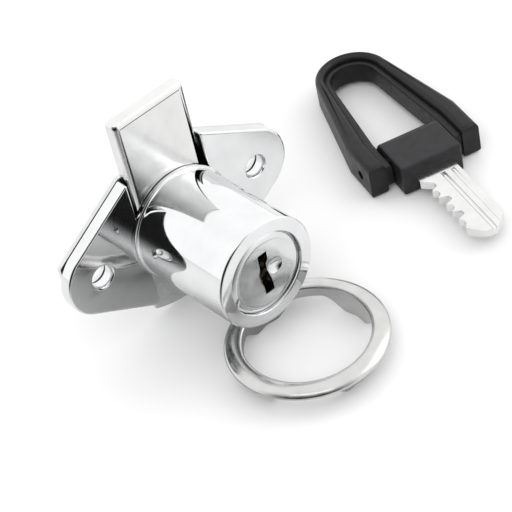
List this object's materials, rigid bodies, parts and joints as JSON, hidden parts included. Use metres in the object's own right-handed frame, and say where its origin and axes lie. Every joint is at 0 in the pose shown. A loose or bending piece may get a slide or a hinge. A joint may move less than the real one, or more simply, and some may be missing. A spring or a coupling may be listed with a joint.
{
  "type": "drawer lock",
  "caption": "Drawer lock: a keyed plug in a flanged barrel slides a dead bolt; with a loose trim ring and a folding key.",
  "frame": {"origin": "midway between the two screw holes on the flange's mounting face, which is on the barrel's axis", "axes": "+X along the line of the screw holes, +Y from the key face to the back plate, +Z the way the bolt is thrown"},
  "size_m": [0.0884, 0.0648, 0.0437],
  "materials": {
    "die_cast_chrome": "polished chrome on a zinc casting",
    "plug_chrome": "polished, finely turned face",
    "bolt_nickel": "soft bright nickel",
    "ring_nickel": "satin nickel",
    "plated_steel": "zinc-plated sheet",
    "rivet_steel": "peened bright",
    "pin_steel": "ground",
    "spring_steel": "drawn wire",
    "wafer_brass": "stamped",
    "handle_plastic": "fine moulded texture",
    "carrier_plastic": "fine moulded texture",
    "key_nickel": "bright nickel on brass"
  },
  "bodies": {
    "lock_case": {"housing": "die_cast_chrome", "back_plate": "plated_steel", "plate_rivets": "rivet_steel", "plug_retaining_pin": "pin_steel"},
    "plug": {"plug": "plug_chrome", "drive_pin": "pin_steel", "wafer_spring_1": "spring_steel", "wafer_spring_2": "spring_steel", "wafer_spring_3": "spring_steel", "wafer_spring_4": "spring_steel", "wafer_spring_5": "spring_steel", "wafer_spring_6": "spring_steel"},
    "bolt": {"bolt": "bolt_nickel"},
    "wafer_1": {"wafer_1": "wafer_brass"},
    "wafer_2": {"wafer_2": "wafer_brass"},
    "wafer_3": {"wafer_3": "wafer_brass"},
    "wafer_4": {"wafer_4": "wafer_brass"},
    "wafer_5": {"wafer_5": "wafer_brass"},
    "wafer_6": {"wafer_6": "wafer_brass"},
    "trim_ring": {"trim_ring": "ring_nickel"},
    "key_handle": {"key_handle": "handle_plastic", "key_fold_pin": "pin_steel"},
    "key_blade": {"key_carrier": "carrier_plastic", "key_blade": "key_nickel"}
  },
  "joints": [
    {"name": "plug_turn", "type": "hinge", "parent": "lock_case", "child": "plug", "pos_m": [0, 0, 0], "axis": [0, 1, 0], "range_deg": [0, 180]},
    {"name": "bolt_throw", "type": "slide", "parent": "lock_case", "child": "bolt", "axis": [0, 0, -1], "range_m": [0, 0.0095]},
    {"name": "wafer_1_slide", "type": "slide", "parent": "plug", "child": "wafer_1", "axis": [0, 0, 1], "range_m": [0, 0.0007], "stiffness_N_per_m": 300, "deforming": ["wafer_spring_1"]},
    {"name": "wafer_2_slide", "type": "slide", "parent": "plug", "child": "wafer_2", "axis": [0, 0, -1], "range_m": [0, 0.0007], "stiffness_N_per_m": 300, "deforming": ["wafer_spring_2"]},
    {"name": "wafer_3_slide", "type": "slide", "parent": "plug", "child": "wafer_3", "axis": [0, 0, 1], "range_m": [0, 0.0007], "stiffness_N_per_m": 300, "deforming": ["wafer_spring_3"]},
    {"name": "wafer_4_slide", "type": "slide", "parent": "plug", "child": "wafer_4", "axis": [0, 0, -1], "range_m": [0, 0.0007], "stiffness_N_per_m": 300, "deforming": ["wafer_spring_4"]},
    {"name": "wafer_5_slide", "type": "slide", "parent": "plug", "child": "wafer_5", "axis": [0, 0, 1], "range_m": [0, 0.0007], "stiffness_N_per_m": 300, "deforming": ["wafer_spring_5"]},
    {"name": "wafer_6_slide", "type": "slide", "parent": "plug", "child": "wafer_6", "axis": [0, 0, -1], "range_m": [0, 0.0007], "stiffness_N_per_m": 300, "deforming": ["wafer_spring_6"]},
    {"name": "ring_away", "type": "slide", "parent": "lock_case", "child": "trim_ring", "axis": [0, -1, 0], "range_m": [0, 0.04]},
    {"name": "key_lift", "type": "slide", "parent": "lock_case", "child": "key_handle", "axis": [0, 0, 1], "range_m": [0, 0.06]},
    {"name": "key_fold", "type": "hinge", "parent": "key_handle", "child": "key_blade", "pos_m": [0.049, -0.006, -0.015], "axis": [-0.9537, 0.3007, 0], "range_deg": [0, 180]}
  ],
  "couplings": [
    {"joint": "plug_turn", "follows": "bolt_throw", "rad_per_m": 330.69}
  ]
}
